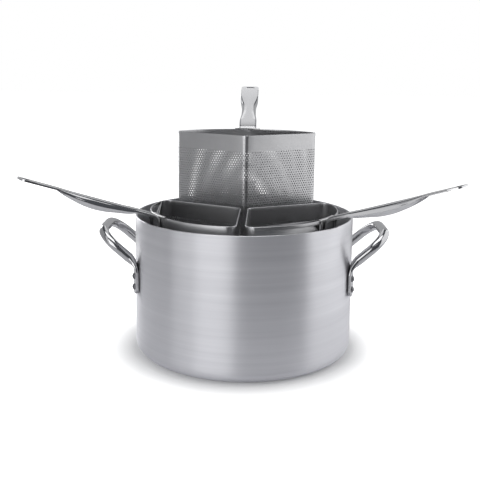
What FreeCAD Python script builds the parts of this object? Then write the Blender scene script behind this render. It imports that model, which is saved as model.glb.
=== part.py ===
import FreeCAD, Part
import math
import os

# Three-basket pasta pot: a tall aluminium pot with two riveted loop handles and three
# sector-shaped strainer baskets, each a third of the round, with a long channel handle.
# Millimetres. The origin is the centre of the pot's flat base, +Z is up, and the gap
# between the two seated baskets faces -Y. The third basket hangs raised on the rim at +Y.

Vec = FreeCAD.Vector
UP = Vec(0, 0, 1)

# ---- pot ----
POT_R = 180.0              # outside radius
POT_H = 225.0              # height to the rim
POT_WALL = 3.0
POT_CORNER_R = 16.0        # outside radius between the base and the wall
RIM_ROUND = 0.9            # rounding of the rim's two edges

# ---- loop handles of the pot ----
TUBE_R = 7.85              # radius of the bent tube
LEG_Y = 58.7               # half the distance between the two legs
LEG_FOOT = (177.5, 154.4)  # x, z where a leg's centre line reaches the wall
BAR_POINT = (230.0, 199.7)  # x, z of the gripped bar's centre line
LOOP_BEND_R = 36.0         # bend radius from a leg to the bar
LEG_START = 8.0            # the tube is fully round from this far along the leg
PLATE_HALF_W = 12.5        # half width of the flattened tube end
PLATE_HALF_T = 2.6         # half thickness of the flattened tube end
PLATE_LOW_Z = 101.0
RIVET_Z = (130.0, 112.5)
RIVET_R = 3.2
RIVET_HEAD_R = 5.6
RIVET_HEAD_H = 3.4
RIVET_TAIL_H = 1.8
RIVET_HOLE_CLEAR = 0.1     # tail heads stand this far off the curved inside wall

# ---- sector baskets ----
BASKET_R = 155.0           # outside radius of the curved wall
HALF_ANGLE = 58.2          # half the angle between the two flat walls, in degrees
SIDE_OFFSET = 5.8          # each flat wall stands this far inside its radial plane
OUTER_CORNER_R = 14.0
APEX_R = 10.0
SHEET = 1.0
SEAT_GAP = 0.3             # between a seated basket and the pot's floor
RIM_ABOVE_POT = 8.0        # a seated basket's rim stands this far above the pot's rim
TRAY_EDGE_H = 9.0          # turned-up edge of the basket's floor tray
HEM_T = 0.5                # thickness of the folded band on the basket's rim
HEM_H = 5.0
SEATED_ANGLES = {"left": 210.0, "right": 327.0}
RAISED_ANGLE = 89.0
RAISED_SHIFT = 15.0        # the raised basket is pushed outwards by this much
RAISED_RIM_ABOVE_POT = 126.0

# ---- basket handle: a channel pressed from sheet, open underneath ----
CHANNEL_T = 1.8
MOUNT_R = BASKET_R + 2.4   # outer face of the mounting plate, where the channel starts
ROOT_BEND_R = 16.0
SLOPE_DEG = 18.6           # rise of the straight part
ROOT_DROP = 34.0           # the channel's foot reaches this far below the rim
BEND_DROP = 8.2            # the bend starts this far below the rim
ROOT_W = 32.5              # width of the channel at its root
GRIP_START_R = 196.0       # the sides hang deep between these two radii
GRIP_END_R = 311.0
GRIP_DEPTH = 14.5          # how much deeper they are in the middle of the grip
ROOT_EXTRA_DEPTH = 3.7
TONGUE_START_R = 352.0     # flat tongue from here to the tip
TONGUE_T = 2.8
TIP_R = 367.0
SLOT_W = 19.0
SLOT_L = 10.0

# ---- mounting plate and drain hook ----
PLATE_W = 46.0
PLATE_DROP = 38.0
LIP_T = 1.6                # the plate's top edge, folded over the rim
LIP_REACH = 2.6            # how far it reaches inside the wall's outer face
HOOK_W = 30.0
HOOK_T = 2.0
HOOK_LEG_H = 34.0          # leg welded on the basket's wall
HOOK_OUT_R = 168.5         # outer face of the hook's lip, from the basket's own centre
HOOK_LIP_H = 14.0

BASKET_FLOOR_Z = POT_WALL + SEAT_GAP
BASKET_RIM_Z = POT_H + RIM_ABOVE_POT - HEM_T
HOOK_Z = BASKET_RIM_Z + HEM_T - (RAISED_RIM_ABOVE_POT - SEAT_GAP)
RAISED_LIFT = RAISED_RIM_ABOVE_POT - RIM_ABOVE_POT


def save(name, shape):
    """Write one node, after checking that it is made of valid closed solids."""
    for solid in shape.Solids:
        if not (solid.isValid() and solid.Volume > 0):
            raise ValueError(name + " is not a valid solid")
    if not shape.Solids:
        raise ValueError(name + " has no solid")
    shape.exportStep("parts/" + name + ".step")
    print(name, len(shape.Solids), "solid(s)", round(shape.Volume / 1000.0, 1), "cm3")


def turned(shape, angle):
    """A copy turned about the pot's axis."""
    copy = shape.copy()
    copy.rotate(Vec(0, 0, 0), UP, angle)
    return copy


# ---------------------------------------------------------------- pot


def pot_body():
    """The spun pot: one profile of the wall and base, turned about Z."""
    inner_r = POT_R - POT_WALL
    inner_corner = POT_CORNER_R - POT_WALL
    half = math.sqrt(0.5)
    out_c = Vec(POT_R - POT_CORNER_R, 0, POT_CORNER_R)
    out_mid = out_c + Vec(half, 0, -half) * POT_CORNER_R
    in_mid = out_c + Vec(half, 0, -half) * inner_corner
    p = [Vec(0, 0, 0), Vec(POT_R - POT_CORNER_R, 0, 0), Vec(POT_R, 0, POT_CORNER_R),
         Vec(POT_R, 0, POT_H), Vec(inner_r, 0, POT_H), Vec(inner_r, 0, POT_CORNER_R),
         Vec(POT_R - POT_CORNER_R, 0, POT_WALL), Vec(0, 0, POT_WALL)]
    edges = [Part.LineSegment(p[0], p[1]).toShape(),
             Part.Arc(p[1], out_mid, p[2]).toShape(),
             Part.LineSegment(p[2], p[3]).toShape(),
             Part.LineSegment(p[3], p[4]).toShape(),
             Part.LineSegment(p[4], p[5]).toShape(),
             Part.Arc(p[5], in_mid, p[6]).toShape(),
             Part.LineSegment(p[6], p[7]).toShape(),
             Part.LineSegment(p[7], p[0]).toShape()]
    body = Part.Face(Part.Wire(edges)).revolve(Vec(0, 0, 0), UP, 360)
    rim_edges = [e for e in body.Edges
                 if abs(e.BoundBox.ZMin - POT_H) < 1e-3 and abs(e.BoundBox.ZMax - POT_H) < 1e-3
                 and e.Curve.TypeId == "Part::GeomCircle"]
    return body.makeFillet(RIM_ROUND, rim_edges)


def rounded_section(centre, wide, thick, half_w, half_t, squareness):
    """A closed curve from a circle (squareness 2) towards a rounded rectangle."""
    count = 24
    points = []
    for i in range(count):
        a = 2 * math.pi * i / count
        c = math.cos(a)
        s = math.sin(a)
        u = math.copysign(abs(c) ** (2 / squareness), c) * half_w
        v = math.copysign(abs(s) ** (2 / squareness), s) * half_t
        points.append(centre + wide * u + thick * v)
    curve = Part.BSplineCurve()
    curve.interpolate(Points=points, Parameters=[float(i) for i in range(count + 1)],
                      PeriodicFlag=True)
    return Part.Wire([curve.toShape()])


def leg_frame():
    """Foot of the +Y leg's centre line, the direction along the leg, and its length."""
    foot = Vec(LEG_FOOT[0], LEG_Y, LEG_FOOT[1])
    run = Vec(BAR_POINT[0] - LEG_FOOT[0], 0, BAR_POINT[1] - LEG_FOOT[1])
    return foot, run * (1.0 / run.Length), run.Length


def flattened_end():
    """The +Y end of the tube: a flat plate on the wall that opens into the round leg."""
    foot, along, _ = leg_frame()
    angle = math.asin(LEG_Y / (POT_R + PLATE_HALF_T))
    radial = Vec(math.cos(angle), math.sin(angle), 0)
    across = Vec(-math.sin(angle), math.cos(angle), 0)
    side = Vec(0, 1, 0)
    face = radial * (POT_R + PLATE_HALF_T)
    wires = []
    for z in (PLATE_LOW_Z, 120.0, 138.0):
        wires.append(rounded_section(Vec(face.x, face.y, z), across, -radial,
                                     PLATE_HALF_W, PLATE_HALF_T, 5.0))
    # share of the leg's direction, height, distance off the wall, half sizes, squareness
    mix = ((0.25, 144.0, 0.7, 11.8, 3.0, 4.0), (0.5, 148.5, 1.9, 10.6, 4.0, 3.2),
           (0.8, 153.0, 4.6, 9.2, 5.6, 2.5))
    for share, z, out, half_w, half_t, square in mix:
        wide = (across * (1 - share) + side * share).normalize()
        tangent = (UP * (1 - share) + along * share).normalize()
        tangent = (tangent - wide * tangent.dot(wide)).normalize()
        centre = Vec(face.x, face.y, z) + radial * out
        centre.y = face.y
        wires.append(rounded_section(centre, wide, tangent.cross(wide), half_w, half_t, square))
    # the last stretch lies just inside the round leg, so that the two join cleanly
    for reach in (LEG_START, LEG_START + 4.0):
        wires.append(rounded_section(foot + along * reach, side, along.cross(side),
                                     TUBE_R - 0.05, TUBE_R - 0.05, 2.0))
    faces = [Part.Face(wires[0]), Part.Face(wires[-1])]
    for lower, upper in zip(wires, wires[1:]):
        faces.append(Part.makeRuledSurface(lower.Edges[0], upper.Edges[0]))
    shell = Part.makeShell(faces)
    shell.sewShape()
    end = Part.makeSolid(shell)
    if end.Volume < 0:
        end.reverse()
    return end


def tube_half():
    """The +Y leg, its bend and half of the gripped bar."""
    foot, along, length = leg_frame()
    side = Vec(0, 1, 0)
    leg = Part.makeCylinder(TUBE_R, length - LOOP_BEND_R - LEG_START, foot + along * LEG_START, along)
    bend_start = foot + along * (length - LOOP_BEND_R)
    disc = Part.Face(Part.Wire([Part.makeCircle(TUBE_R, bend_start, along)]))
    bend_centre = bend_start - side * LOOP_BEND_R
    bend = disc.revolve(bend_centre, side.cross(along), 90)
    bar_start = bend_centre + along * LOOP_BEND_R
    bar = Part.makeCylinder(TUBE_R, bar_start.y, bar_start, -side)
    return leg.fuse([bend, bar])


def loop_handle():
    """The right-hand loop handle (+X), one tube with both ends flattened."""
    half = tube_half().fuse(flattened_end())
    handle = half.fuse(half.mirror(Vec(0, 0, 0), Vec(0, 1, 0)))
    return handle.cut(plate_end_trim()).cut(rivet_shanks())


def radial_frame(sign):
    """Angle of one plate's middle on the pot's wall, in degrees."""
    return sign * math.degrees(math.asin(LEG_Y / (POT_R + PLATE_HALF_T)))


def plate_end_trim():
    """What is cut from the two plates so that their lower ends are round."""
    trims = []
    for sign in (1, -1):
        block = Part.makeBox(20, 4 * PLATE_HALF_W, PLATE_HALF_W + 1,
                             Vec(POT_R - 5, -2 * PLATE_HALF_W, PLATE_LOW_Z - 1))
        disc = Part.makeCylinder(PLATE_HALF_W, 24, Vec(POT_R - 7, 0, PLATE_LOW_Z + PLATE_HALF_W),
                                 Vec(1, 0, 0))
        trims.append(turned(block.cut(disc), radial_frame(sign)))
    return Part.makeCompound(trims)


def rivet_shanks():
    """Cylinders on the four rivet axes, also used to drill the wall and the plates."""
    shanks = []
    for sign in (1, -1):
        for z in RIVET_Z:
            start = Vec(POT_R - POT_WALL - RIVET_HOLE_CLEAR, 0, z)
            length = POT_WALL + RIVET_HOLE_CLEAR + 2 * PLATE_HALF_T
            shank = Part.makeCylinder(RIVET_R, length, start, Vec(1, 0, 0))
            shanks.append(turned(shank, radial_frame(sign)))
    return Part.makeCompound(shanks)


def rivet_group():
    """Four rivets of the right-hand handle: domed heads outside, flat tails inside."""
    rivets = []
    out_x = POT_R + 2 * PLATE_HALF_T
    in_x = POT_R - POT_WALL - RIVET_HOLE_CLEAR
    sphere_r = (RIVET_HEAD_R ** 2 + RIVET_HEAD_H ** 2) / (2 * RIVET_HEAD_H)
    for sign in (1, -1):
        for z in RIVET_Z:
            shank = Part.makeCylinder(RIVET_R, out_x - in_x, Vec(in_x, 0, z), Vec(1, 0, 0))
            ball = Part.makeSphere(sphere_r, Vec(out_x + RIVET_HEAD_H - sphere_r, 0, z))
            keep = Part.makeCylinder(RIVET_HEAD_R + 1, RIVET_HEAD_H + 1, Vec(out_x, 0, z), Vec(1, 0, 0))
            # the tail's face is curved like the wall behind it
            inside = Part.makeCylinder(POT_R - POT_WALL, 4 * RIVET_HEAD_R, Vec(0, 0, z - 2 * RIVET_HEAD_R))
            tail = Part.makeCylinder(RIVET_HEAD_R, RIVET_TAIL_H + 1, Vec(in_x - RIVET_TAIL_H, 0, z),
                                     Vec(1, 0, 0)).common(inside)
            rivet = shank.fuse([ball.common(keep), tail]).removeSplitter()
            rivets.append(turned(rivet, radial_frame(sign)))
    return Part.makeCompound(rivets)


# ---------------------------------------------------------------- baskets


def sector_face(inset, z):
    """The basket's plan outline, drawn in by an inset, as a flat face at height z.

    The basket's middle line lies along +X and the pot's axis is at the origin.
    """
    h = math.radians(HALF_ANGLE)
    radius = BASKET_R - inset
    offset = SIDE_OFFSET + inset
    corner_r = OUTER_CORNER_R - inset
    apex_r = APEX_R - inset
    corner_angle = h - math.asin((offset + corner_r) / (radius - corner_r))
    corner_c = Vec(math.cos(corner_angle), math.sin(corner_angle), 0) * (radius - corner_r)
    apex_c = Vec((offset + apex_r) / math.sin(h), 0, 0)
    normal = h + math.pi / 2

    def around(centre, r, angle, flip=1):
        return Vec(centre.x + r * math.cos(angle), flip * (centre.y + r * math.sin(angle)), z)

    corner_mid = (corner_angle + normal) / 2
    arc_low = around(Vec(0, 0, 0), radius, corner_angle, -1)
    arc_high = around(Vec(0, 0, 0), radius, corner_angle)
    side_high = around(corner_c, corner_r, normal)
    side_low = around(corner_c, corner_r, normal, -1)
    apex_high = around(apex_c, apex_r, normal)
    apex_low = around(apex_c, apex_r, normal, -1)
    edges = [Part.Arc(arc_low, Vec(radius, 0, z), arc_high).toShape(),
             Part.Arc(arc_high, around(corner_c, corner_r, corner_mid), side_high).toShape(),
             Part.LineSegment(side_high, apex_high).toShape(),
             Part.Arc(apex_high, Vec(apex_c.x - apex_r, 0, z), apex_low).toShape(),
             Part.LineSegment(apex_low, side_low).toShape(),
             Part.Arc(side_low, around(corner_c, corner_r, corner_mid, -1), arc_low).toShape()]
    return Part.Face(Part.Wire(edges))


def sector_ring(outer_inset, inner_inset, low, high):
    """A closed wall that follows the basket's outline between two insets."""
    height = Vec(0, 0, high - low)
    outer = sector_face(outer_inset, low).extrude(height)
    return outer.cut(sector_face(inner_inset, low).extrude(height))


def basket_wall():
    """The bent sheet wall, up to the rim."""
    return sector_ring(0, SHEET, BASKET_FLOOR_Z, BASKET_RIM_Z)


def basket_floor_tray():
    """The floor, with its turned-up edge inside the wall."""
    plate = sector_face(SHEET, BASKET_FLOOR_Z).extrude(Vec(0, 0, SHEET))
    edge = sector_ring(SHEET, 2 * SHEET, BASKET_FLOOR_Z + SHEET, BASKET_FLOOR_Z + TRAY_EDGE_H)
    return plate.fuse(edge).removeSplitter()


def basket_rim_band():
    """A band folded over the wall's top edge, inside and outside."""
    low = BASKET_RIM_Z - HEM_H
    band = sector_ring(-HEM_T, SHEET + HEM_T, low, BASKET_RIM_Z + HEM_T)
    return band.cut(sector_ring(0, SHEET, low, BASKET_RIM_Z))


def curved_pad(low_r, high_r, width, low, high):
    """Part of an upright ring: between two radii, a width across +X and two heights."""
    ring = Part.makeCylinder(high_r, high - low, Vec(0, 0, low))
    ring = ring.cut(Part.makeCylinder(low_r, high - low, Vec(0, 0, low)))
    block = Part.makeBox(high_r + 1, width, high - low, Vec(0, -width / 2, low))
    return ring.common(block)


def basket_handle_plate():
    """The plate welded outside the wall, notched over the band, its lip on the rim."""
    rim_top = BASKET_RIM_Z + HEM_T
    plate = curved_pad(BASKET_R, MOUNT_R, PLATE_W, rim_top - PLATE_DROP, rim_top)
    lip = curved_pad(BASKET_R - LIP_REACH, MOUNT_R, PLATE_W, rim_top, rim_top + LIP_T)
    band_space = curved_pad(BASKET_R - 4, BASKET_R + HEM_T, PLATE_W + 2, BASKET_RIM_Z - HEM_H, rim_top)
    return plate.cut(band_space).fuse(lip).removeSplitter()


def basket_drain_hook():
    """A bent strip on the curved wall that holds the basket up on the pot's rim."""
    leg = curved_pad(BASKET_R, BASKET_R + HOOK_T, HOOK_W, HOOK_Z - 6.0, HOOK_Z - 6.0 + HOOK_LEG_H)
    top = curved_pad(BASKET_R, HOOK_OUT_R, HOOK_W, HOOK_Z, HOOK_Z + HOOK_T)
    lip = Part.makeBox(HOOK_T, HOOK_W, HOOK_LIP_H + HOOK_T,
                       Vec(HOOK_OUT_R - HOOK_T, -HOOK_W / 2, HOOK_Z - HOOK_LIP_H))
    return leg.fuse([top, lip]).removeSplitter()


def blend(x, low, high):
    """Smooth step from 0 at low to 1 at high."""
    t = min(1.0, max(0.0, (x - low) / (high - low)))
    return t * t * (3 - 2 * t)


def channel_width(r):
    """Width of the handle's top face: broad root, slim grip, broad end."""
    return ROOT_W - 5.5 * blend(r, 192, 240) + 9.0 * blend(r, 262, 306)


def channel_depth(r):
    """Depth of the folded sides: a deep leaf in the grip, shallow towards the tip."""
    along_grip = min(1.0, max(0.0, (r - GRIP_START_R) / (GRIP_END_R - GRIP_START_R)))
    grip = math.sin(math.pi * along_grip) ** 0.75
    return TONGUE_T + GRIP_DEPTH * grip + ROOT_EXTRA_DEPTH * (1 - blend(r, 190, 230))


def channel_stations():
    """Points of the channel's top face with slope, width and depth of the sides."""
    rim_top = BASKET_RIM_Z + HEM_T
    bend_z = rim_top - BEND_DROP
    stations = [(MOUNT_R, rim_top - ROOT_DROP, 90.0, ROOT_W, 2.6),
                (MOUNT_R, rim_top - ROOT_DROP / 2, 90.0, ROOT_W, 4.5)]
    centre_r = MOUNT_R + ROOT_BEND_R
    steps = 6
    for i in range(steps + 1):
        slope = 90.0 + (SLOPE_DEG - 90.0) * i / steps
        a = math.radians(slope)
        r = centre_r - ROOT_BEND_R * math.sin(a)
        z = bend_z + ROOT_BEND_R * math.cos(a)
        stations.append((r, z, slope, channel_width(r), 5.5 + i / steps))
    start_r, start_z = stations[-1][0], stations[-1][1]
    runs = 28
    for i in range(1, runs + 1):
        r = start_r + (TONGUE_START_R - start_r) * i / runs
        z = start_z + (r - start_r) * math.tan(math.radians(SLOPE_DEG))
        stations.append((r, z, SLOPE_DEG, channel_width(r), channel_depth(r)))
    return stations


def channel_wire(r, z, slope, width, depth):
    """The channel's cross-section at one station: a thin U, open below."""
    a = math.radians(slope)
    half = width / 2
    t = CHANNEL_T
    outline = [(-half, 0), (half, 0), (half, -depth), (half - t, -depth),
               (half - t, -t), (t - half, -t), (t - half, -depth), (-half, -depth)]
    points = [Vec(r - n * math.sin(a), y, z + n * math.cos(a)) for y, n in outline]
    return Part.makePolygon(points + points[:1])


def basket_handle():
    """The long channel handle with the flat slotted tongue at its tip."""
    stations = channel_stations()
    wires = [channel_wire(*station) for station in stations]
    channel = Part.makeLoft(wires, True, True, False)
    end_r, end_z, slope, width, depth = stations[-1]
    tongue = handle_tongue(end_r, end_z, width)
    return channel.fuse(tongue).removeSplitter()


def handle_tongue(start_r, start_z, width):
    """The flat plate at the tip, with round corners and the hanging slot."""
    slope = math.radians(SLOPE_DEG)
    length = (TIP_R - start_r) / math.cos(slope)
    back = 14.0
    plan = Part.makeBox(length + back, width, TONGUE_T, Vec(-back, -width / 2, -TONGUE_T))
    corners = [e for e in plan.Edges
               if abs(e.BoundBox.XMin - length) < 1e-3 and e.BoundBox.ZLength > TONGUE_T / 2
               and e.BoundBox.YLength < 1e-3]
    plan = plan.makeFillet(7.0, corners)
    trim = Part.makeBox(back, width, TONGUE_T * 2, Vec(-back, -width / 2, -TONGUE_T * 1.5))
    plan = plan.cut(trim)
    slot_start = length - SLOT_L - 4.0
    slot = Part.makeBox(SLOT_L, SLOT_W, 4 * TONGUE_T, Vec(slot_start, -SLOT_W / 2, -2 * TONGUE_T))
    slot_corners = [e for e in slot.Edges if e.BoundBox.ZLength > TONGUE_T]
    plan = plan.cut(slot.makeFillet(3.0, slot_corners))
    plan.rotate(Vec(0, 0, 0), Vec(0, 1, 0), -SLOPE_DEG)
    plan.translate(Vec(start_r, 0, start_z))
    return plan


BASKET_PIECES = {
    "wall": basket_wall,
    "floor_tray": basket_floor_tray,
    "rim_band": basket_rim_band,
    "handle_plate": basket_handle_plate,
    "handle": basket_handle,
    "drain_hook": basket_drain_hook,
}


def placed(shape, place):
    """A seated basket is only turned; the raised one is shifted out and lifted too."""
    if place in SEATED_ANGLES:
        return turned(shape, SEATED_ANGLES[place])
    copy = shape.copy()
    copy.translate(Vec(RAISED_SHIFT, 0, RAISED_LIFT))
    return turned(copy, RAISED_ANGLE)


def main():
    os.makedirs("parts", exist_ok=True)
    drills = rivet_shanks()
    save("pot_body", pot_body().cut(drills).cut(turned(drills, 180)))
    for name, angle in (("right", 0), ("left", 180)):
        save("pot_handle_" + name, turned(loop_handle(), angle))
        save("pot_rivets_" + name, turned(rivet_group(), angle))
    for piece, make in BASKET_PIECES.items():
        shape = make()
        for place in ("left", "right", "back"):
            save("basket_" + place + "_" + piece, placed(shape, place))


main()
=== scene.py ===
import math

import bmesh
import bpy
from mathutils import Matrix, Vector
from mathutils.geometry import delaunay_2d_cdt


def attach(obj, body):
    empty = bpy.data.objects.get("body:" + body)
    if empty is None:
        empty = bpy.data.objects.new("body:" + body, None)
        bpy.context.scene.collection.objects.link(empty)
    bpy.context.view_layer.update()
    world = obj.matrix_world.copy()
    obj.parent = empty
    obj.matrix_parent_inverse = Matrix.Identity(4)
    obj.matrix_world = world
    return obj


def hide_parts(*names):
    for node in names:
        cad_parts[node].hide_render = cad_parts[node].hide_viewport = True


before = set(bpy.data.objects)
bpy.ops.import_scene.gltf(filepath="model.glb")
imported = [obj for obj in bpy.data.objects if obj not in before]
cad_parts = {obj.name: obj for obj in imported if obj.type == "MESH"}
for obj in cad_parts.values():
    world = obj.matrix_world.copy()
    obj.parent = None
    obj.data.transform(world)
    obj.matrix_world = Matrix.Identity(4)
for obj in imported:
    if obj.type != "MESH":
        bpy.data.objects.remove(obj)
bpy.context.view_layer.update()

# A spun aluminium pot with two loop handles and three sector baskets of perforated steel
# sheet. Metres, Z up. The baskets' sheet parts and handles are built here; the pot, its
# handles and its rivets are the CAD nodes with better materials.

MM = 0.001

# ---- sizes of a basket, in its own frame: its middle line lies along +X ----
BASKET_R = 155 * MM          # outside radius of the curved wall
HALF_ANGLE = math.radians(58.2)
SIDE_OFFSET = 5.8 * MM       # each flat wall stands this far inside its radial plane
OUTER_CORNER_R = 14 * MM
APEX_R = 10 * MM
CORNER_REACH = BASKET_R - OUTER_CORNER_R      # from the axis to an outer corner's centre
CORNER_ANGLE = HALF_ANGLE - math.asin((SIDE_OFFSET + OUTER_CORNER_R) / CORNER_REACH)
SHEET = 1 * MM
TRAY_EDGE_H = 9 * MM
HEM_T = 0.5 * MM
HEM_H = 5 * MM
FLOOR_Z = 3.3 * MM           # underside of a seated basket
RIM_TOP = 233 * MM           # top of its rim
SEATED = {"left": 210, "right": 327}
RAISED_ANGLE, RAISED_SHIFT, RAISED_LIFT = 89.0, 15 * MM, 118 * MM

# ---- perforation ----
HOLE_PITCH = 4.8 * MM
HOLE_R = 1.26 * MM
HOLE_SIDES = 10
TOP_MARGIN = 29 * MM         # plain sheet below the rim
LOW_MARGIN = 13 * MM         # plain sheet above the floor
SEAM_MARGIN = 5 * MM         # plain sheet beside each upright seam
FLOOR_MARGIN = 9 * MM

# ---- basket handle ----
MOUNT_R = BASKET_R + 2.4 * MM
STRIP_T = 1.8 * MM
ROOT_BEND_R = 16 * MM
SLOPE = math.radians(18.6)
ROOT_DROP, BEND_DROP = 34 * MM, 8.2 * MM
ROOT_W = 32.5 * MM
GRIP_START_R, GRIP_END_R = 196 * MM, 311 * MM
GRIP_DEPTH = 14.5 * MM
TONGUE_START_R, TONGUE_T = 352 * MM, 2.8 * MM
TIP_R = 367 * MM
TONGUE_OVERLAP = 6 * MM      # the flat tongue runs this far back under the channel's end
TONGUE_CORNER_R = 7 * MM
TONGUE_SKIN = 0.02 * MM      # keeps the tongue's faces just inside the channel's
SLOT_W, SLOT_L = 19 * MM, 10 * MM
SLOT_MARGIN, SLOT_CORNER_R = 4 * MM, 3 * MM
# changes along the handle: how much, and between which radii
WAIST = (5.5 * MM, 192 * MM, 240 * MM)        # narrower after the root
FLARE = (9 * MM, 262 * MM, 306 * MM)          # broader again before the tongue
ROOT_EXTRA = (3.7 * MM, 190 * MM, 230 * MM)   # deeper sides that fade away from the root

# ---- mounting plate and drain hook ----
PLATE_W, PLATE_DROP = 46 * MM, 38 * MM
LIP_T, LIP_REACH = 1.6 * MM, 2.6 * MM         # the top edge over the rim, and its reach inwards
LIP_OUTER_R, LIP_INNER_R = 1.5 * MM, 0.7 * MM
PLATE_STEP = 0.85 * MM       # the plate stands clear of the rim band by this much
HOOK_W, HOOK_T = 30 * MM, 2 * MM
HOOK_DROP = 125.7 * MM       # from the basket's rim to the underside that rests on the pot
HOOK_OUT_R = 168.5 * MM
HOOK_BEND_R = 2.6 * MM
HOOK_LIP_H = 14 * MM
HOOK_LEG_BELOW, HOOK_LEG_ABOVE = 6 * MM, 28 * MM

# ---- main view ----
LENS, SENSOR = 55.62, 36     # millimetres
SHIFT = (-0.0104, -0.1388)
EYE = (0.00934, -1.2179, 0.46285)
YAW, PITCH, ROLL = -0.42, 8.05, 0.67          # degrees; pitch looks down
LIGHT_AIM_Z = 0.45


# ---------------------------------------------------------------- small helpers


def mesh_piece(name, verts, faces, material, sharp_deg=35):
    """A new object from vertices and faces, smooth up to sharp_deg between faces."""
    mesh = bpy.data.meshes.new(name)
    mesh.from_pydata([tuple(v) for v in verts], [], faces)
    mesh.validate()
    mesh.update()
    mesh.shade_smooth()
    mesh.set_sharp_from_angle(angle=math.radians(sharp_deg))
    mesh.materials.append(material)
    piece = bpy.data.objects.new(name, mesh)
    bpy.context.scene.collection.objects.link(piece)
    return piece


def basket_place(side):
    """From a basket's own frame to its place in the model."""
    if side in SEATED:
        return Matrix.Rotation(math.radians(SEATED[side]), 4, "Z")
    turn = Matrix.Rotation(math.radians(RAISED_ANGLE), 4, "Z")
    return turn @ Matrix.Translation((RAISED_SHIFT, 0, RAISED_LIFT))


def blend(x, low, high):
    """Smooth step from 0 at low to 1 at high."""
    t = min(1.0, max(0.0, (x - low) / (high - low)))
    return t * t * (3 - 2 * t)


# ---------------------------------------------------------------- the basket's outline


def outline_parts():
    """Arcs and lines of the outline from the middle of the curved wall, anticlockwise.

    Each part is (length, function from distance to point and outward normal).
    """
    corner = CORNER_ANGLE
    corner_c = Vector((math.cos(corner), math.sin(corner))) * CORNER_REACH
    apex_c = Vector(((SIDE_OFFSET + APEX_R) / math.sin(HALF_ANGLE), 0))
    normal = HALF_ANGLE + math.pi / 2

    def arc(centre, radius, start, end):
        def at(d):
            a = start + d / radius
            n = Vector((math.cos(a), math.sin(a)))
            return centre + n * radius, n
        return radius * (end - start), at

    def line(start, end, n):
        def at(d):
            return start + (end - start).normalized() * d, n
        return (end - start).length, at

    def on(centre, radius, a):
        return centre + Vector((math.cos(a), math.sin(a))) * radius

    low_corner_c = Vector((corner_c.x, -corner_c.y))
    high_n = Vector((math.cos(normal), math.sin(normal)))
    low_n = Vector((high_n.x, -high_n.y))
    turn = 2 * math.pi
    zero = Vector((0, 0))
    return [
        arc(zero, BASKET_R, 0, corner),
        arc(corner_c, OUTER_CORNER_R, corner, normal),
        line(on(corner_c, OUTER_CORNER_R, normal), on(apex_c, APEX_R, normal), high_n),
        arc(apex_c, APEX_R, normal, turn - normal),
        line(on(apex_c, APEX_R, -normal), on(low_corner_c, OUTER_CORNER_R, -normal), low_n),
        arc(low_corner_c, OUTER_CORNER_R, turn - normal, turn - corner),
        arc(zero, BASKET_R, turn - corner, turn),
    ]


PARTS = outline_parts()
OUTLINE = sum(length for length, _ in PARTS)
WALL_HALF = PARTS[0][0]       # from the middle of the curved wall to its end


def outline_at(s):
    """Point and outward normal at a distance along the outline."""
    s = s % OUTLINE
    for length, at in PARTS:
        if s <= length:
            return at(s)
        s -= length
    return PARTS[-1][1](PARTS[-1][0])


def outline_steps():
    """Distances along the outline, close together on the bends, wider on the lines."""
    steps = []
    start = 0.0
    spacing = (4 * MM, 2.5 * MM, 12 * MM, 1.4 * MM, 12 * MM, 2.5 * MM, 4 * MM)
    for (length, _), step in zip(PARTS, spacing):
        count = max(1, math.ceil(length / step))
        steps += [start + length * i / count for i in range(count)]
        start += length
    return steps


def wall_point(s, inset, z):
    """A point of the basket's wall, drawn in by inset from its outer face."""
    p, n = outline_at(s)
    return Vector((p.x - n.x * inset, p.y - n.y * inset, z))


# ---------------------------------------------------------------- perforated sheet


def hole_lattice(low, high, inside):
    """Centres of a staggered hole pattern in a box, where inside(x, y) holds."""
    row = HOLE_PITCH * math.sqrt(0.75)
    rows = int((high[1] - low[1]) / row)
    columns = int((high[0] - low[0]) / HOLE_PITCH)
    spare_x = (high[0] - low[0] - columns * HOLE_PITCH) / 2
    spare_y = (high[1] - low[1] - rows * row) / 2
    centres = []
    for j in range(rows + 1):
        shift = HOLE_PITCH / 2 if j % 2 else 0
        for i in range(columns + 1 - j % 2):
            x = low[0] + spare_x + shift + i * HOLE_PITCH
            y = low[1] + spare_y + j * row
            if inside(x, y):
                centres.append((x, y))
    return centres


def punched(border, centres, fill):
    """A flat region with round holes, as points, triangles and hole rings.

    border is the closed outer loop and fill lists loose points in the plain parts.
    """
    points = [Vector(p) for p in border]
    edges = [(i, (i + 1) % len(border)) for i in range(len(border))]
    owner = [-1] * len(border)
    rings = []
    for number, (x, y) in enumerate(centres):
        first = len(points)
        for k in range(HOLE_SIDES):
            a = 2 * math.pi * k / HOLE_SIDES
            points.append(Vector((x + HOLE_R * math.cos(a), y + HOLE_R * math.sin(a))))
            owner.append(number)
        ring = list(range(first, first + HOLE_SIDES))
        rings.append(ring)
        edges += [(ring[k], ring[(k + 1) % HOLE_SIDES]) for k in range(HOLE_SIDES)]
    points += [Vector(p) for p in fill]
    owner += [-2] * len(fill)
    out, _, faces, source, _, _ = delaunay_2d_cdt(points, edges, [], 0, 1e-8)
    kept = []
    new_owner = [owner[ids[0]] for ids in source]
    for face in faces:
        a, b, c = (new_owner[i] for i in face)
        if not (a == b == c and a >= 0):
            kept.append(tuple(face))
    renumber = {ids[0]: i for i, ids in enumerate(source)}
    rings = [[renumber[i] for i in ring] for ring in rings]
    return out, kept, rings, [renumber[i] for i in range(len(border))]


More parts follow.
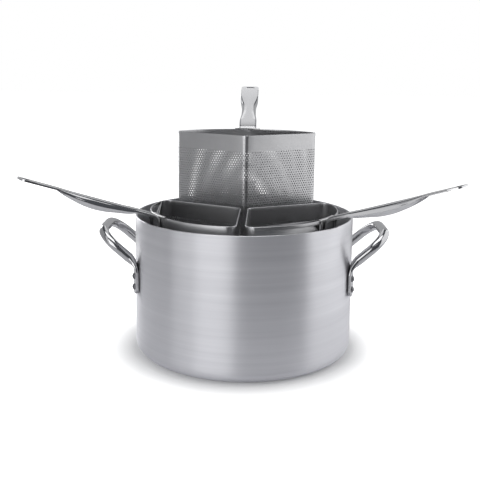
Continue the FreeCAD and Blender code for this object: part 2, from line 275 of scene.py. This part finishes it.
def thick_sheet(flat, outer, inner):
    """Both faces, the hole walls and the edge of a punched sheet.

    outer and inner turn a flat point into a point of each face.
    """
    points, triangles, rings, border = flat
    count = len(points)
    verts = [outer(p) for p in points] + [inner(p) for p in points]
    faces = list(triangles)
    faces += [tuple(count + i for i in reversed(t)) for t in triangles]
    for ring in rings + [list(reversed(border))]:
        for a, b in zip(ring, ring[1:] + ring[:1]):
            faces.append((a, b, count + b, count + a))
    return verts, faces


def wall_sheet(name, start, end, material):
    """A bent perforated sheet between two distances along the outline."""
    low, high = FLOOR_Z, RIM_TOP - HEM_T
    steps = [s for s in outline_steps() + [s + OUTLINE for s in outline_steps()]
             if start + 1 * MM < s < end - 1 * MM]
    steps = [start] + steps + [end]
    plain_z = (low + 4 * MM, low + LOW_MARGIN - 4 * MM, high - TOP_MARGIN + 5 * MM, high - 12 * MM)
    border = [(s, low) for s in steps]
    border += [(end, z) for z in plain_z]
    border += [(s, high) for s in reversed(steps)]
    border += [(start, z) for z in reversed(plain_z)]
    fill = [(s, z) for s in steps[1:-1] for z in plain_z]
    centres = hole_lattice((start + SEAM_MARGIN, low + LOW_MARGIN),
                           (end - SEAM_MARGIN, high - TOP_MARGIN), lambda x, y: True)
    flat = punched(border, centres, fill)
    verts, faces = thick_sheet(flat, lambda p: wall_point(p.x, 0, p.y),
                               lambda p: wall_point(p.x, SHEET, p.y))
    return mesh_piece(name, verts, faces, material)


def floor_tray(name, material):
    """The perforated floor with its turned-up edge, one closed mesh."""
    steps = outline_steps()
    border = [wall_point(s, SHEET, 0).xy for s in steps]
    near_corner = HALF_ANGLE - 0.3

    def inside(x, y):
        radius = math.hypot(x, y)
        side = x * math.sin(HALF_ANGLE) - abs(y) * math.cos(HALF_ANGLE)
        if radius > CORNER_REACH and abs(math.atan2(y, x)) > near_corner:
            away = math.hypot(x - CORNER_REACH * math.cos(CORNER_ANGLE),
                              abs(y) - CORNER_REACH * math.sin(CORNER_ANGLE))
            if away > OUTER_CORNER_R - FLOOR_MARGIN:
                return False
        return radius < BASKET_R - FLOOR_MARGIN and side > SIDE_OFFSET + FLOOR_MARGIN

    centres = hole_lattice((0, -BASKET_R), (BASKET_R, BASKET_R), inside)
    points, triangles, rings, edge = punched(border, centres, [])
    outline_of = dict(zip(edge, steps))
    count = len(points)
    top = FLOOR_Z + SHEET
    verts = [Vector((p.x, p.y, FLOOR_Z)) for p in points]
    for i, p in enumerate(points):
        if i in outline_of:
            verts.append(wall_point(outline_of[i], 2 * SHEET, top))
        else:
            verts.append(Vector((p.x, p.y, top)))
    faces = [tuple(reversed(t)) for t in triangles]
    faces += [tuple(count + i for i in t) for t in triangles]
    for ring in rings:
        for a, b in zip(ring, ring[1:] + ring[:1]):
            faces.append((b, a, count + a, count + b))
    lip = FLOOR_Z + TRAY_EDGE_H
    first = len(verts)
    for s in steps:
        verts.append(wall_point(s, SHEET, lip))
        verts.append(wall_point(s, 2 * SHEET, lip))
    total = len(steps)
    for i in range(total):
        j = (i + 1) % total
        faces.append((edge[i], edge[j], first + 2 * j, first + 2 * i))
        faces.append((first + 2 * i, first + 2 * j, first + 2 * j + 1, first + 2 * i + 1))
        faces.append((first + 2 * i + 1, first + 2 * j + 1, count + edge[j], count + edge[i]))
    return mesh_piece(name, verts, faces, material)


def swept(name, profile, steps, point, closed, material):
    """A closed profile carried along steps. point(step, u, v) gives each vertex."""
    verts = [point(s, u, v) for s in steps for u, v in profile]
    n = len(profile)
    faces = []
    rounds = len(steps) if closed else len(steps) - 1
    for i in range(rounds):
        j = (i + 1) % len(steps)
        for k in range(n):
            m = (k + 1) % n
            faces.append((i * n + k, i * n + m, j * n + m, j * n + k))
    if not closed:
        faces.append(tuple(range(n)))
        faces.append(tuple(reversed(range((len(steps) - 1) * n, len(steps) * n))))
    piece = mesh_piece(name, verts, faces, material)
    outward(piece)
    return piece


def outward(piece):
    """Turns a closed mesh's faces outwards."""
    bm = bmesh.new()
    bm.from_mesh(piece.data)
    bmesh.ops.recalc_face_normals(bm, faces=bm.faces)
    bm.to_mesh(piece.data)
    bm.free()


def round_arc(centre, radius, start, end, count):
    """Points of an arc in a profile plane, angles in degrees."""
    points = []
    for i in range(count + 1):
        a = math.radians(start + (end - start) * i / count)
        points.append((centre[0] + radius * math.cos(a), centre[1] + radius * math.sin(a)))
    return points


def rim_hem(name, material):
    """The folded band: a U of thin sheet with a round top over the wall's edge."""
    low = RIM_TOP - HEM_T - HEM_H
    wall_top = RIM_TOP - HEM_T
    outer_r = SHEET / 2 + HEM_T
    # profile in (inset, z), from the outer foot over the top to the inner foot and back
    profile = [(-HEM_T, low)]
    profile += round_arc((SHEET / 2, RIM_TOP - outer_r), outer_r, 180, 0, 10)
    profile += [(SHEET + HEM_T, low), (SHEET, low), (SHEET, wall_top), (0, wall_top), (0, low)]
    return swept(name, profile, outline_steps(),
                 lambda s, u, v: wall_point(s, u, v), True, material)


# ---------------------------------------------------------------- basket handle


def handle_width(r):
    """Width of the top face: broad root, slim grip, broad end."""
    return ROOT_W + FLARE[0] * blend(r, *FLARE[1:]) - WAIST[0] * blend(r, *WAIST[1:])


def handle_depth(r):
    """How far the rolled sides hang down: a deep leaf in the grip."""
    along_grip = min(1.0, max(0.0, (r - GRIP_START_R) / (GRIP_END_R - GRIP_START_R)))
    grip = math.sin(math.pi * along_grip) ** 0.75
    return TONGUE_T + GRIP_DEPTH * grip + ROOT_EXTRA[0] * (1 - blend(r, *ROOT_EXTRA[1:]))


def handle_stations():
    """Points of the top face's centre line, with slope, width and depth of the sides."""
    bend_z = RIM_TOP - BEND_DROP
    stations = []
    for i in range(5):
        share = i / 5
        z = RIM_TOP - ROOT_DROP + share * (ROOT_DROP - BEND_DROP)
        stations.append((MOUNT_R, z, math.pi / 2, ROOT_W, (2.4 + 3 * share) * MM))
    centre_r = MOUNT_R + ROOT_BEND_R
    steps = 10
    for i in range(steps + 1):
        a = math.pi / 2 + (SLOPE - math.pi / 2) * i / steps
        r = centre_r - ROOT_BEND_R * math.sin(a)
        z = bend_z + ROOT_BEND_R * math.cos(a)
        stations.append((r, z, a, handle_width(r), (5.5 + i / steps) * MM))
    start_r, start_z = stations[-1][0], stations[-1][1]
    runs = 56
    for i in range(1, runs + 1):
        r = start_r + (TONGUE_START_R - start_r) * i / runs
        z = start_z + (r - start_r) * math.tan(SLOPE)
        stations.append((r, z, SLOPE, handle_width(r), handle_depth(r)))
    return stations


def channel_profile(width, depth):
    """Half of a rolled channel's outer line, (across, down), from the middle to the edge.

    The top is slightly crowned, the shoulder round, and a deep side swells outwards and
    rolls back in at its lower edge.
    """
    half = width / 2
    corner = min(2.2 * MM + 0.2 * depth, 0.7 * depth)
    deep = blend(depth / MM, 6, 15)
    crown = 1.2 * MM * blend(depth / MM, 3, 18)
    points = []
    for i in range(5):
        share = i / 4
        points.append(((half - corner) * share, -crown * share ** 2))
    for i in range(1, 8):
        a = math.pi / 2 * i / 7
        points.append((half - corner + corner * math.sin(a), -crown - corner + corner * math.cos(a)))
    side = depth - corner - crown
    for i in range(1, 9):
        t = i / 8
        roll = deep * (0.8 * MM * math.sin(math.pi * min(1, 1.4 * t)) - 4.2 * MM * blend(t, 0.35, 1.1))
        points.append((half + roll, -crown - corner - side * t))
    return points


def offset_line(points, gap):
    """The same line drawn in towards the channel's inside by gap."""
    result = []
    for i, p in enumerate(points):
        before = points[max(0, i - 1)]
        after = points[min(len(points) - 1, i + 1)]
        dx, dy = after[0] - before[0], after[1] - before[1]
        size = math.hypot(dx, dy)
        result.append((p[0] + dy / size * gap, p[1] - dx / size * gap))
    result[0] = (0, result[0][1])
    return result


def basket_handle(name, material):
    """The long rolled channel with its flat slotted tongue."""
    rows = []
    for r, z, a, width, depth in handle_stations():
        outer = channel_profile(width, depth)
        inner = offset_line(outer, STRIP_T)
        loop = [(-y, n) for y, n in reversed(outer[1:])] + outer
        back = [(y, n) for y, n in reversed(inner)] + [(-y, n) for y, n in inner[1:]]
        row = []
        for y, n in loop + back:
            row.append(Vector((r - n * math.sin(a), y, z + n * math.cos(a))))
        rows.append(row)
    count = len(rows[0])
    verts = [v for row in rows for v in row]
    faces = []
    for i in range(len(rows) - 1):
        for k in range(count):
            m = (k + 1) % count
            faces.append((i * count + k, i * count + m, (i + 1) * count + m, (i + 1) * count + k))
    faces.append(tuple(range(count)))
    last = (len(rows) - 1) * count
    faces.append(tuple(reversed(range(last, last + count))))
    channel = mesh_piece(name, verts, faces, material)
    outward(channel)
    end_r, end_z, _, width, _ = handle_stations()[-1]
    tongue = handle_tongue(name + "_tongue", end_r, end_z, width, material)
    return [channel, tongue]


def rounded_box(low, high, radius, count):
    """Corner-rounded rectangle as a closed loop, anticlockwise."""
    corners = [((high[0] - radius, high[1] - radius), 0), ((low[0] + radius, high[1] - radius), 90),
               ((low[0] + radius, low[1] + radius), 180), ((high[0] - radius, low[1] + radius), 270)]
    loop = []
    for centre, start in corners:
        loop += round_arc(centre, radius, start, start + 90, count)
    return loop


def handle_tongue(name, start_r, start_z, width, material):
    """The flat end, with round corners and a hanging slot."""
    length = (TIP_R - start_r) / math.cos(SLOPE)
    half = width / 2
    bend = TONGUE_CORNER_R
    border = [(-TONGUE_OVERLAP, -half), (length - bend, -half)]
    border += round_arc((length - bend, -half + bend), bend, -90, 0, 7)[1:]
    border += round_arc((length - bend, half - bend), bend, 0, 90, 7)
    border += [(-TONGUE_OVERLAP, half)]
    slot_low = (length - SLOT_L - SLOT_MARGIN, -SLOT_W / 2)
    slot = rounded_box(slot_low, (slot_low[0] + SLOT_L, SLOT_W / 2), SLOT_CORNER_R, 5)
    points = [Vector(p) for p in border + slot]
    n = len(border)
    edges = [(i, (i + 1) % n) for i in range(n)]
    m = len(slot)
    edges += [(n + i, n + (i + 1) % m) for i in range(m)]
    out, _, tris, source, _, _ = delaunay_2d_cdt(points, edges, [], 0, 1e-8)
    in_slot = [ids[0] >= n for ids in source]
    tris = [tuple(t) for t in tris if not all(in_slot[i] for i in t)]
    place = {ids[0]: i for i, ids in enumerate(source)}
    border_ring = [place[i] for i in range(n)]
    slot_ring = [place[n + i] for i in range(m)]

    def point(p, drop):
        return Vector((start_r + p.x * math.cos(SLOPE) + drop * math.sin(SLOPE), p.y,
                       start_z + p.x * math.sin(SLOPE) - drop * math.cos(SLOPE)))

    flat = (out, tris, [slot_ring], border_ring)
    verts, faces = thick_sheet(flat, lambda p: point(p, TONGUE_SKIN),
                               lambda p: point(p, TONGUE_T - TONGUE_SKIN))
    piece = mesh_piece(name, verts, faces, material)
    outward(piece)
    return piece


# ---------------------------------------------------------------- mounting plate and hook


def upright_strip(name, profile, width, material):
    """A bent strip: a profile in (radius, z) carried across the basket's middle line."""
    steps = [-width / 2 + width * i / 12 for i in range(13)]

    def point(y, radius, z):
        a = y / BASKET_R
        return Vector((radius * math.cos(a), radius * math.sin(a), z))

    return swept(name, profile, steps, point, False, material)


def mounting_plate(name, material):
    """The plate on the wall, its top edge rolled over the rim."""
    inner = BASKET_R + PLATE_STEP
    top = RIM_TOP + LIP_T
    low = RIM_TOP - PLATE_DROP
    reach = BASKET_R - LIP_REACH
    profile = [(BASKET_R, low), (MOUNT_R, low)]
    profile += round_arc((MOUNT_R - LIP_OUTER_R, top - LIP_OUTER_R), LIP_OUTER_R, 0, 90, 5)
    profile += round_arc((reach + LIP_INNER_R, top - LIP_INNER_R), LIP_INNER_R, 90, 180, 3)
    profile += [(reach, RIM_TOP), (inner, RIM_TOP)]
    profile += [(inner, RIM_TOP - HEM_H - 1 * MM), (BASKET_R, RIM_TOP - HEM_H - 2 * MM)]
    return upright_strip(name, profile, PLATE_W, material)


def drain_hook(name, material):
    """The bent strip that holds a raised basket on the pot's rim."""
    z = RIM_TOP - HOOK_DROP
    leg_low, leg_high = z - HOOK_LEG_BELOW, z + HOOK_LEG_ABOVE
    leg_r = BASKET_R + HOOK_T
    lip_r = HOOK_OUT_R - HOOK_T
    profile = [(BASKET_R, leg_low), (leg_r, leg_low), (leg_r, z)]
    profile += [(lip_r, z), (lip_r, z - HOOK_LIP_H), (HOOK_OUT_R, z - HOOK_LIP_H)]
    bend_centre = (HOOK_OUT_R - HOOK_BEND_R, z + HOOK_T - HOOK_BEND_R)
    profile += round_arc(bend_centre, HOOK_BEND_R, 0, 90, 5)
    profile += [(leg_r, z + HOOK_T), (leg_r, leg_high), (BASKET_R, leg_high)]
    return upright_strip(name, profile, HOOK_W, material)


# ---------------------------------------------------------------- materials


def new_material(name, colour, metallic, roughness):
    """A node material with a Principled shader and an object-space coordinate node."""
    mat = bpy.data.materials.new(name)
    mat.use_nodes = True
    nodes = mat.node_tree.nodes
    shader = nodes["Principled BSDF"]
    shader.inputs["Base Color"].default_value = (*colour, 1)
    shader.inputs["Metallic"].default_value = metallic
    shader.inputs["Roughness"].default_value = roughness
    place = nodes.new("ShaderNodeTexCoord")
    return mat, nodes, mat.node_tree.links, shader, place.outputs["Object"]


def scaled(nodes, links, source, scale):
    """The coordinates times a scale along each axis."""
    mapping = nodes.new("ShaderNodeMapping")
    mapping.inputs["Scale"].default_value = scale
    links.new(source, mapping.inputs["Vector"])
    return mapping.outputs["Vector"]


def distance(nodes, links, source):
    """The length of a position: its distance from the origin."""
    node = nodes.new("ShaderNodeVectorMath")
    node.operation = "LENGTH"
    links.new(source, node.inputs[0])
    return node.outputs["Value"]


def noise(nodes, links, source, scale, detail):
    """A noise texture's value."""
    tex = nodes.new("ShaderNodeTexNoise")
    tex.inputs["Scale"].default_value = scale
    tex.inputs["Detail"].default_value = detail
    tex.inputs["Roughness"].default_value = 0.6
    links.new(source, tex.inputs["Vector"])
    return tex.outputs["Fac"]


def ranged(nodes, links, value, low, high, source=(0.3, 0.7)):
    """A value moved from the source range to low..high."""
    node = nodes.new("ShaderNodeMapRange")
    node.inputs["From Min"].default_value = source[0]
    node.inputs["From Max"].default_value = source[1]
    node.inputs["To Min"].default_value = low
    node.inputs["To Max"].default_value = high
    links.new(value, node.inputs["Value"])
    return node.outputs["Result"]


def ramp(nodes, links, value, stops):
    """A colour ramp over a value; stops are (position, colour)."""
    node = nodes.new("ShaderNodeValToRGB")
    elements = node.color_ramp.elements
    while len(elements) < len(stops):
        elements.new(0.5)
    for element, (position, colour) in zip(elements, stops):
        element.position = position
        element.color = (*colour, 1)
    links.new(value, node.inputs["Fac"])
    return node.outputs["Color"]


def bump(nodes, links, shader, height, strength, distance):
    """Bump from a height value."""
    node = nodes.new("ShaderNodeBump")
    node.inputs["Strength"].default_value = strength
    node.inputs["Distance"].default_value = distance
    links.new(height, node.inputs["Height"])
    links.new(node.outputs["Normal"], shader.inputs["Normal"])


def spun_aluminium():
    """Lathe-brushed aluminium: fine rings round the axis, softly uneven."""
    mat, nodes, links, shader, place = new_material("spun_aluminium", (0.8, 0.8, 0.82), 1, 0.34)
    rings = noise(nodes, links, scaled(nodes, links, place, (6, 6, 1500)), 1.0, 4)
    broad = noise(nodes, links, scaled(nodes, links, place, (2, 2, 90)), 1.0, 3)
    colour = ramp(nodes, links, broad, [(0.3, (0.675, 0.675, 0.70)), (0.7, (0.75, 0.75, 0.775))])
    links.new(colour, shader.inputs["Base Color"])
    links.new(ranged(nodes, links, rings, 0.38, 0.46), shader.inputs["Roughness"])
    shader.inputs["Anisotropic"].default_value = 0.85
    shader.inputs["Anisotropic Rotation"].default_value = 0.25
    tangent = nodes.new("ShaderNodeTangent")
    tangent.direction_type = "RADIAL"
    tangent.axis = "Z"
    links.new(tangent.outputs["Tangent"], shader.inputs["Tangent"])
    bump(nodes, links, shader, rings, 0.2, 0.0002)
    return mat


def polished_steel(name, tint, rough):
    """Polished steel tube or strip with faint polishing marks."""
    mat, nodes, links, shader, place = new_material(name, tint, 1, rough)
    marks = noise(nodes, links, scaled(nodes, links, place, (300, 300, 300)), 1.0, 3)
    cloud = noise(nodes, links, place, 25, 3)
    low = tuple(0.93 * c for c in tint)
    colour = ramp(nodes, links, cloud, [(0.3, low), (0.7, tint)])
    links.new(colour, shader.inputs["Base Color"])
    links.new(ranged(nodes, links, cloud, rough * 0.8, rough * 1.3), shader.inputs["Roughness"])
    bump(nodes, links, shader, marks, 0.05, 0.0001)
    return mat


def channel_steel(name, tint, rough):
    """Polished strip, rougher round the bend at its root, and darkened there to half its colour:
    painted shade that tones down the root's bright reflections.
    """
    root_rough = 0.32
    root_radii = (0.168, 0.200)   # distances from the pot's axis where the change starts and ends
    mat, nodes, links, shader, place = new_material(name, tint, 1, rough)
    level_place = scaled(nodes, links, place, (1, 1, 0))
    radius = distance(nodes, links, level_place)
    # painted shade: the base colour falls to half its tint towards the root, dimming its reflections
    painted_shade_tint = tuple(0.5 * c for c in tint)
    share = ranged(nodes, links, radius, 0, 1, root_radii)
    links.new(ramp(nodes, links, share, [(0, painted_shade_tint), (1, tint)]), shader.inputs["Base Color"])
    links.new(ranged(nodes, links, radius, root_rough, rough, root_radii), shader.inputs["Roughness"])
    return mat


def satin_sheet(name, tint, rough):
    """Rolled stainless sheet with faint level lines."""
    mat, nodes, links, shader, place = new_material(name, tint, 1, rough)
    lines = noise(nodes, links, scaled(nodes, links, place, (12, 12, 700)), 1.0, 3)
    cloud = noise(nodes, links, place, 14, 4)
    low = tuple(0.88 * c for c in tint)
    colour = ramp(nodes, links, cloud, [(0.3, low), (0.7, tint)])
    links.new(colour, shader.inputs["Base Color"])
    links.new(ranged(nodes, links, lines, rough * 0.9, rough * 1.1), shader.inputs["Roughness"])
    return mat


# ---------------------------------------------------------------- stage, lights, camera


def softbox(name, place, size, radiance):
    """A soft area light that faces the pot's axis, hidden from the camera."""
    light = bpy.data.lights.new(name, "AREA")
    light.shape = "RECTANGLE"
    light.size, light.size_y = size
    light.energy = radiance * math.pi * size[0] * size[1]
    lamp = bpy.data.objects.new(name, light)
    lamp.location = place
    away = Vector((place[0], place[1], place[2] - LIGHT_AIM_Z))
    lamp.rotation_euler = away.to_track_quat("Z", "Y").to_euler()
    lamp.visible_camera = False
    bpy.context.scene.collection.objects.link(lamp)
    return lamp


def side_panel(name, x, low_y, high_y, radiance):
    """An upright softbox beside the pot, parallel to the Y axis."""
    panel = softbox(name, (x, (low_y + high_y) / 2, 0.45), (high_y - low_y, 1.8), radiance)
    panel.rotation_euler = Vector((math.copysign(1, x), 0, 0)).to_track_quat("Z", "Y").to_euler()


def around(azimuth, distance, height):
    """A point round the pot. Azimuth 0 is towards -Y and 90 towards +X."""
    a = math.radians(azimuth)
    return (distance * math.sin(a), -distance * math.cos(a), height)


def camera_only(tree, seen, other, target):
    """Shows one shader to the camera and lets the other light and reflect."""
    path = tree.nodes.new("ShaderNodeLightPath")
    mix = tree.nodes.new("ShaderNodeMixShader")
    tree.links.new(path.outputs["Is Camera Ray"], mix.inputs[0])
    tree.links.new(other, mix.inputs[1])
    tree.links.new(seen, mix.inputs[2])
    tree.links.new(mix.outputs[0], target)


def room():
    """A soft grey room to light and reflect, plain white to the camera."""
    world = bpy.data.worlds.new("room")
    bpy.context.scene.world = world
    world.use_nodes = True
    tree = world.node_tree
    grey = tree.nodes["Background"]
    grey.inputs["Color"].default_value = (0.10, 0.105, 0.115, 1)
    white = tree.nodes.new("ShaderNodeBackground")
    white.inputs["Color"].default_value = (1, 1, 1, 1)
    camera_only(tree, white.outputs[0], grey.outputs[0], tree.nodes["World Output"].inputs["Surface"])


def pale_floor():
    """A large floor. To the camera it glows white, painted light that hides the cast shadows, with less
    glow close round the pot's base so a soft painted shade shows there.

    For light and reflections it is pale near the pot and darker further out.
    """
    reach = 12
    mesh = bpy.data.meshes.new("floor")
    mesh.from_pydata([(-reach, -reach, 0), (reach, -reach, 0), (reach, reach, 0), (-reach, reach, 0)],
                     [], [(0, 1, 2, 3)])
    floor = bpy.data.objects.new("floor", mesh)
    bpy.context.scene.collection.objects.link(floor)
    mat = bpy.data.materials.new("pale_floor")
    mat.use_nodes = True
    tree = mat.node_tree
    seen = tree.nodes["Principled BSDF"]
    seen.inputs["Base Color"].default_value = (0.80, 0.80, 0.80, 1)
    seen.inputs["Roughness"].default_value = 0.8
    seen.inputs["Specular IOR Level"].default_value = 0
    seen.inputs["Emission Color"].default_value = (1, 1, 1, 1)
    place = tree.nodes.new("ShaderNodeTexCoord").outputs["Object"]
    radius = distance(tree.nodes, tree.links, place)
    spread = ranged(tree.nodes, tree.links, radius, 0, 1, (0.2, 1.6))
    fade = ramp(tree.nodes, tree.links, spread,
                [(0, (0.97, 0.97, 0.99)), (0.25, (0.78, 0.78, 0.80)), (1, (0.2, 0.2, 0.21))])
    grey = tree.nodes.new("ShaderNodeBsdfDiffuse")
    tree.links.new(fade, grey.inputs["Color"])
    # painted light: the floor glows for the camera, least near the pot, hiding cast shadows further out
    painted_glow = ranged(tree.nodes, tree.links, radius, 0.1, 1.0, (0.182, 0.25))
    tree.links.new(painted_glow, seen.inputs["Emission Strength"])
    camera_only(tree, seen.outputs[0], grey.outputs[0], tree.nodes["Material Output"].inputs["Surface"])
    mesh.materials.append(mat)


def studio():
    """Floor, room and softboxes."""
    bpy.context.scene.view_settings.view_transform = "Standard"
    room()
    pale_floor()
    softbox("key_front_left", around(-27, 1.8, 0.45), (1.15, 2.0), 1.72)
    side_panel("left_shoulder", -0.8, -0.9, -0.32, 0.74)
    side_panel("left_side", -1.0, -0.28, 0.9, 0.33)
    softbox("left_back", around(-140, 1.9, 0.45), (0.72, 2.0), 2.4)
    side_panel("right_side", 0.88, -0.46, 1.0, 1.14)
    softbox("back", around(180, 2.2, 0.6), (4.0, 2.4), 0.40)
    softbox("back_high", (0, 1.35, 1.85), (0.7, 1.6), 0.8)
    softbox("overhead", (0, -0.2, 2.3), (1.8, 1.4), 2.3)


def camera():
    """The main view: a little above the rims, looking slightly down, frame shifted down."""
    data = bpy.data.cameras.new("camera")
    data.sensor_width = SENSOR
    data.lens = LENS
    data.shift_x, data.shift_y = SHIFT
    cam = bpy.data.objects.new("camera", data)
    bpy.context.scene.collection.objects.link(cam)
    yaw, pitch, roll = math.radians(YAW), math.radians(PITCH), math.radians(ROLL)
    ahead = Vector((math.sin(yaw) * math.cos(pitch), math.cos(yaw) * math.cos(pitch), -math.sin(pitch)))
    right = Vector((math.cos(yaw), -math.sin(yaw), 0))
    up = right.cross(ahead)
    turned_right = right * math.cos(roll) + up * math.sin(roll)
    turned_up = up * math.cos(roll) - right * math.sin(roll)
    frame_axes = Matrix((turned_right, turned_up, -ahead)).transposed().to_4x4()
    cam.matrix_world = Matrix.Translation(EYE) @ frame_axes
    bpy.context.scene.camera = cam


# ---------------------------------------------------------------- assembly


def stand_in(piece, side, node):
    """Puts a basket piece in its place, on its body, in a CAD node's stead."""
    piece.data.transform(basket_place(side))
    piece.data.update()
    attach(piece, "basket_" + side)
    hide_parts(node)


def build_basket(side, mats):
    """All visible pieces of one basket."""
    node = "basket_" + side + "_"
    seam = WALL_HALF + 1 * MM
    front = wall_sheet(side + "_front_sheet", seam, OUTLINE - seam, mats["sheet"])
    back = wall_sheet(side + "_curved_sheet", -seam, seam, mats["sheet"])
    stand_in(front, side, node + "wall")
    stand_in(back, side, node + "wall")
    stand_in(floor_tray(side + "_floor", mats["sheet"]), side, node + "floor_tray")
    stand_in(rim_hem(side + "_hem", mats["sheet"]), side, node + "rim_band")
    for piece in basket_handle(side + "_handle", mats["handle"]):
        stand_in(piece, side, node + "handle")
    plate = mounting_plate(side + "_plate", mats["trim"])
    stand_in(plate, side, node + "handle_plate")
    hook = drain_hook(side + "_hook", mats["trim"])
    stand_in(hook, side, node + "drain_hook")


def dress(node, material):
    """Gives a CAD node's every slot one material."""
    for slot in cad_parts[node].material_slots:
        slot.material = material


camera()
studio()
steel = {
    "sheet": satin_sheet("satin_sheet", (0.58, 0.58, 0.59), 0.33),
    "trim": satin_sheet("rim_steel", (0.70, 0.70, 0.70), 0.20),
    "handle": channel_steel("handle_strip_steel", (0.60, 0.60, 0.61), 0.10),
}
for basket in ("left", "right", "back"):
    build_basket(basket, steel)
dress("pot_body", spun_aluminium())
tube = polished_steel("tube_steel", (0.53, 0.53, 0.54), 0.08)
rivet = polished_steel("rivet_steel", (0.17, 0.17, 0.18), 0.30)
for hand in ("left", "right"):
    dress("pot_handle_" + hand, tube)
    dress("pot_rivets_" + hand, rivet)
